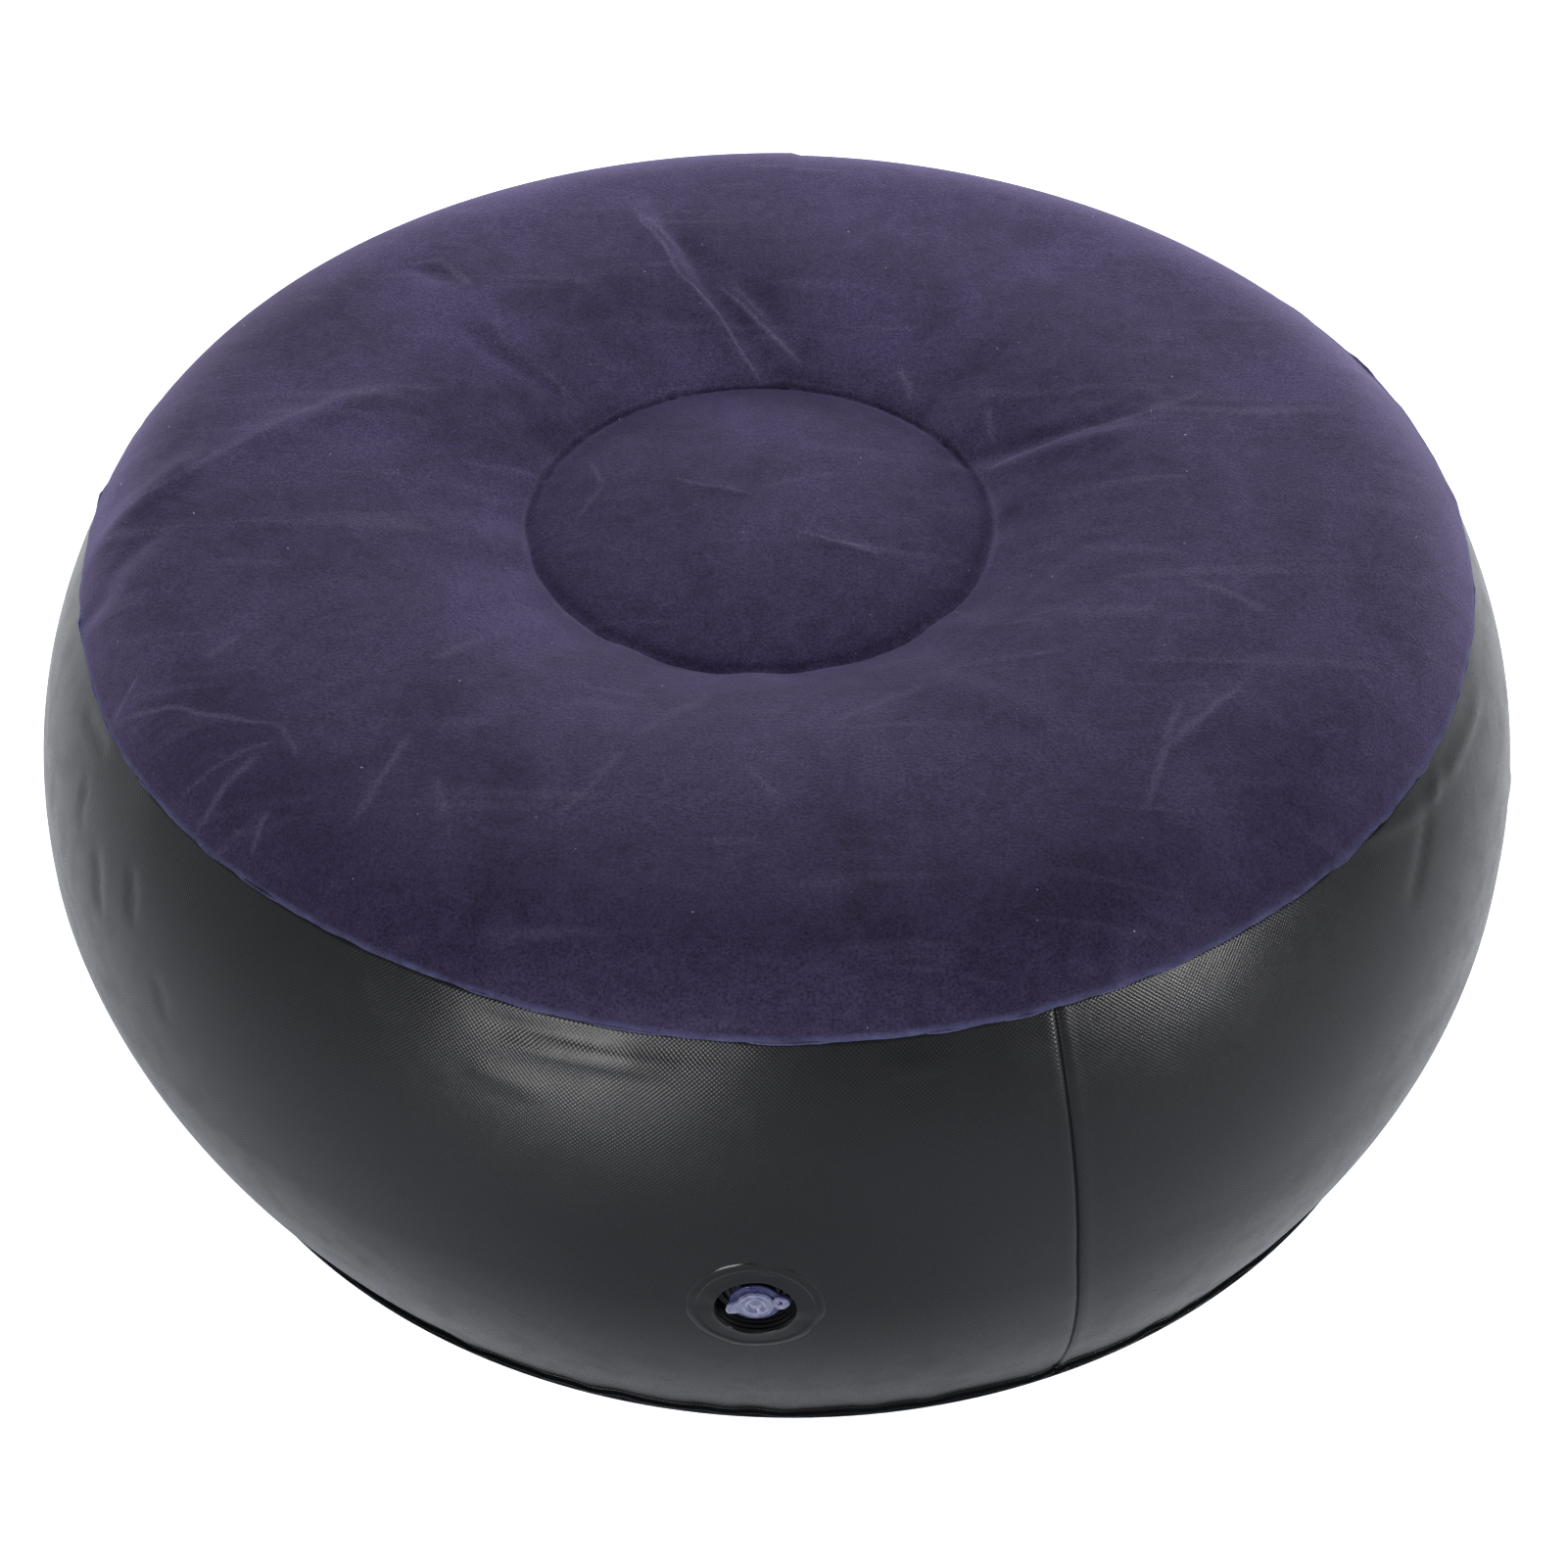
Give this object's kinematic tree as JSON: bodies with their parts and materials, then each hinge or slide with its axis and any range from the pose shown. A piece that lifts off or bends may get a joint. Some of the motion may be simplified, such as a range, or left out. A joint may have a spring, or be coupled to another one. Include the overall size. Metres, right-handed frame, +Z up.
{
  "type": "inflatable round footstool",
  "caption": "Round inflatable footstool with a flocked top, a bulging embossed wall, a tied-in middle disc and a push-in air valve with a tethered cap.",
  "frame": {"origin": "on the floor, at the middle of the footstool", "axes": "+Z up; the valve faces -Y"},
  "size_m": [0.6398, 0.6399, 0.28],
  "materials": {
    "flocked_sheet": "dark purple short flock on PVC, with a mottled nap",
    "embossed_sheet": "semi-gloss black PVC with a fine woven emboss",
    "plain_sheet": "smooth black PVC",
    "clear_valve": "soft, clear, bluish PVC"
  },
  "bodies": {
    "stool": {"top_panel": "flocked_sheet", "side_wall": "embossed_sheet", "bottom_panel": "embossed_sheet", "inner_tube": "plain_sheet", "side_seam_tape": "plain_sheet", "valve_flange": "plain_sheet"},
    "valve": {"valve_stem": "clear_valve"},
    "cap": {"valve_cap": "clear_valve", "cap_tether": "clear_valve"},
    "flap": {"valve_flap": "clear_valve"}
  },
  "joints": [
    {"name": "valve_pull", "type": "slide", "parent": "stool", "child": "valve", "axis": [0, -1, 0], "range_m": [0, 0.012]},
    {"name": "cap_open", "type": "hinge", "parent": "valve", "child": "cap", "pos_m": [0.01182, -0.3185, 0.14208], "axis": [-0.1736, 0, 0.9848], "range_deg": [0, 110]},
    {"name": "flap_open", "type": "hinge", "parent": "valve", "child": "flap", "pos_m": [0, -0.2973, 0.1462], "axis": [1, 0, 0], "range_deg": [0, 55], "stiffness_Nm_per_rad": 0.0005}
  ]
}
